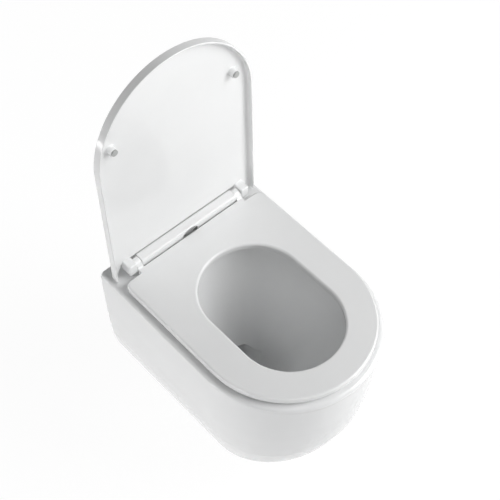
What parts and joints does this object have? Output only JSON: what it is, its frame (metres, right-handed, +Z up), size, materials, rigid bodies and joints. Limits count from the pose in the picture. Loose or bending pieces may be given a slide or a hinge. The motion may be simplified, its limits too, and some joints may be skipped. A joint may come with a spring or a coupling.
{
  "type": "wall-hung rimless toilet",
  "caption": "Wall-hung rimless toilet with a skirted ceramic pan, a slim soft-close seat and lid, and a quick-release hinge bar.",
  "frame": {"origin": "on the wall's face, midway between the two wall studs that carry the pan", "axes": "+X to the right for someone facing the wall, +Y into the wall, +Z up; the seat lies down and the lid stands open"},
  "size_m": [0.36, 0.492, 0.8055],
  "materials": {
    "glazed_ceramic": "white glaze, high gloss",
    "white_duroplast": "white thermoset, polished",
    "white_plastic": "white moulded plastic",
    "grey_plastic": "grey moulded plastic",
    "damper_plastic": "dark grey moulded plastic",
    "grey_rubber": "grey soft rubber",
    "black_rubber": "black rubber",
    "stainless_steel": "satin stainless steel",
    "brass": "plain brass"
  },
  "bodies": {
    "pan": {"pan_back": "glazed_ceramic", "pan_deck": "glazed_ceramic", "pan_skirt_left": "glazed_ceramic", "pan_skirt_right": "glazed_ceramic", "pan_base": "glazed_ceramic", "pan_duct": "glazed_ceramic", "pan_bowl_upper": "glazed_ceramic", "pan_bowl_lower": "glazed_ceramic", "pan_trap": "glazed_ceramic", "pan_spigot": "glazed_ceramic", "flush_distributor": "white_plastic", "inlet_seal": "black_rubber", "stud_sleeve_left": "white_plastic", "stud_sleeve_right": "white_plastic", "stud_washer_left": "stainless_steel", "stud_washer_right": "stainless_steel", "stud_nut_left": "stainless_steel", "stud_nut_right": "stainless_steel", "hinge_bolt_left": "stainless_steel", "hinge_bolt_right": "stainless_steel", "expansion_plug_left": "black_rubber", "expansion_plug_right": "black_rubber", "plug_nut_left": "brass", "plug_nut_right": "brass"},
    "posts": {"post_plate_left": "stainless_steel", "post_plate_right": "stainless_steel", "hinge_post_left": "stainless_steel", "hinge_post_right": "stainless_steel"},
    "bar": {"hinge_bar": "white_duroplast", "bar_base": "white_plastic", "damper_left": "damper_plastic", "damper_right": "damper_plastic", "button_spring": "stainless_steel"},
    "seat": {"seat_ring": "white_duroplast", "seat_bumper_rear_left": "grey_rubber", "seat_bumper_rear_right": "grey_rubber", "seat_bumper_front_left": "grey_rubber", "seat_bumper_front_right": "grey_rubber", "seat_bush": "grey_plastic", "damper_shaft_right": "stainless_steel", "seat_lug_left": "white_duroplast", "seat_lug_right": "white_duroplast"},
    "lid": {"seat_lid": "white_duroplast", "lid_bumper_left": "grey_rubber", "lid_bumper_right": "grey_rubber", "lid_bush": "grey_plastic", "damper_shaft_left": "stainless_steel", "lid_knuckle_left": "white_duroplast", "lid_knuckle_right": "white_duroplast", "lid_wing_left": "white_duroplast", "lid_wing_right": "white_duroplast"},
    "button": {"release_button": "grey_plastic"},
    "left_latch": {"latch_left": "grey_plastic"},
    "right_latch": {"latch_right": "grey_plastic"}
  },
  "joints": [
    {"name": "seat_adjust", "type": "slide", "parent": "pan", "child": "posts", "axis": [0, 1, 0], "range_m": [-0.003, 0.003]},
    {"name": "seat_lift_off", "type": "slide", "parent": "posts", "child": "bar", "axis": [0, 0, 1], "range_m": [0, 0.045]},
    {"name": "seat_hinge", "type": "hinge", "parent": "bar", "child": "seat", "pos_m": [0, -0.04, 0.107], "axis": [-1, 0, 0], "range_deg": [0, 90]},
    {"name": "lid_hinge", "type": "hinge", "parent": "bar", "child": "lid", "pos_m": [0, -0.04, 0.107], "axis": [-1, 0, 0], "range_deg": [-91, 0]},
    {"name": "release_button", "type": "slide", "parent": "bar", "child": "button", "axis": [0, 1, 0], "range_m": [0, 0.0035], "stiffness_N_per_m": 500, "springref_m": -0.002},
    {"name": "latch_left_slide", "type": "slide", "parent": "bar", "child": "left_latch", "axis": [-1, 0, 0], "range_m": [0, 0.0035]},
    {"name": "latch_right_slide", "type": "slide", "parent": "bar", "child": "right_latch", "axis": [1, 0, 0], "range_m": [0, 0.0035]}
  ],
  "couplings": [
    {"joint": "latch_left_slide", "follows": "release_button", "ratio": 1},
    {"joint": "latch_right_slide", "follows": "release_button", "ratio": 1}
  ]
}
